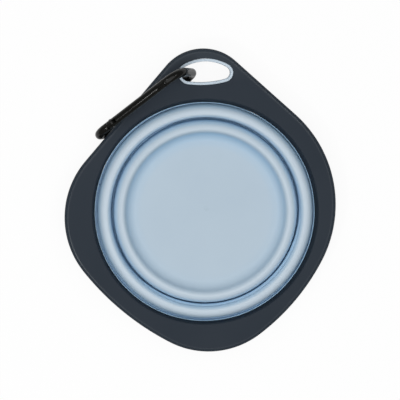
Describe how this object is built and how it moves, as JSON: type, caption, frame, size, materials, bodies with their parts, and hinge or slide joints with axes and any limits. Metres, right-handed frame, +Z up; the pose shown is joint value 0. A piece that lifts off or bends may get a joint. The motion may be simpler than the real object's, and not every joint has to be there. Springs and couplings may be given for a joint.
{
  "type": "collapsible pet bowl",
  "caption": "Collapsible rubber pet bowl in a rigid lobed rim frame with a lined hanging hole and a spring-gate carabiner, folded flat; the bowl pops down in two steps.",
  "frame": {"origin": "centre of the flat underside of the bowl's base, on the bowl axis, with the bowl folded flat", "axes": "+Z up along the bowl axis, +Y towards the hanging hole, +X to the right seen from above"},
  "size_m": [0.1195, 0.1341, 0.0275],
  "materials": {
    "frame_plastic": "fine moulded texture, dark slate",
    "bowl_rubber": "satin thermoplastic rubber, pale grey blue",
    "carabiner_black": "glossy black anodised rod",
    "pin_steel": "plain steel"
  },
  "bodies": {
    "frame": {"rim_frame": "frame_plastic", "bowl_lip": "bowl_rubber", "hole_lining": "bowl_rubber", "upper_fold": "bowl_rubber"},
    "middle": {"middle_ring": "bowl_rubber", "lower_fold": "bowl_rubber"},
    "base": {"bowl_base": "bowl_rubber"},
    "carabiner": {"carabiner_body": "carabiner_black", "gate_hinge_pin": "pin_steel"},
    "gate": {"carabiner_gate": "carabiner_black", "gate_latch_pin": "pin_steel", "gate_spring": "pin_steel"},
    "plunger": {"gate_plunger": "pin_steel"}
  },
  "joints": [
    {"name": "outer_pop", "type": "slide", "parent": "frame", "child": "middle", "axis": [0, 0, -1], "range_m": [0, 0.0167], "deforming": ["upper_fold"]},
    {"name": "inner_pop", "type": "slide", "parent": "middle", "child": "base", "axis": [0, 0, -1], "range_m": [0, 0.0154], "deforming": ["lower_fold"]},
    {"name": "carabiner_swing", "type": "hinge", "parent": "frame", "child": "carabiner", "pos_m": [-0.0065, 0.0606, 0.0033], "axis": [0, 0, -1], "range_deg": [0, 165]},
    {"name": "gate_open", "type": "hinge", "parent": "carabiner", "child": "gate", "pos_m": [-0.04074, 0.03934, 0.00974], "axis": [-0.5495, 0.8128, -0.1932], "range_deg": [0, 20], "stiffness_Nm_per_rad": 0.15, "springref_deg": -20.05},
    {"name": "plunger_slide", "type": "slide", "parent": "gate", "child": "plunger", "axis": [0.7488, 0.5817, 0.3176], "range_m": [0, 0.0008], "deforming": ["gate_spring"]}
  ],
  "couplings": [
    {"joint": "plunger_slide", "follows": "gate_open", "m_per_rad": 0.00215}
  ]
}
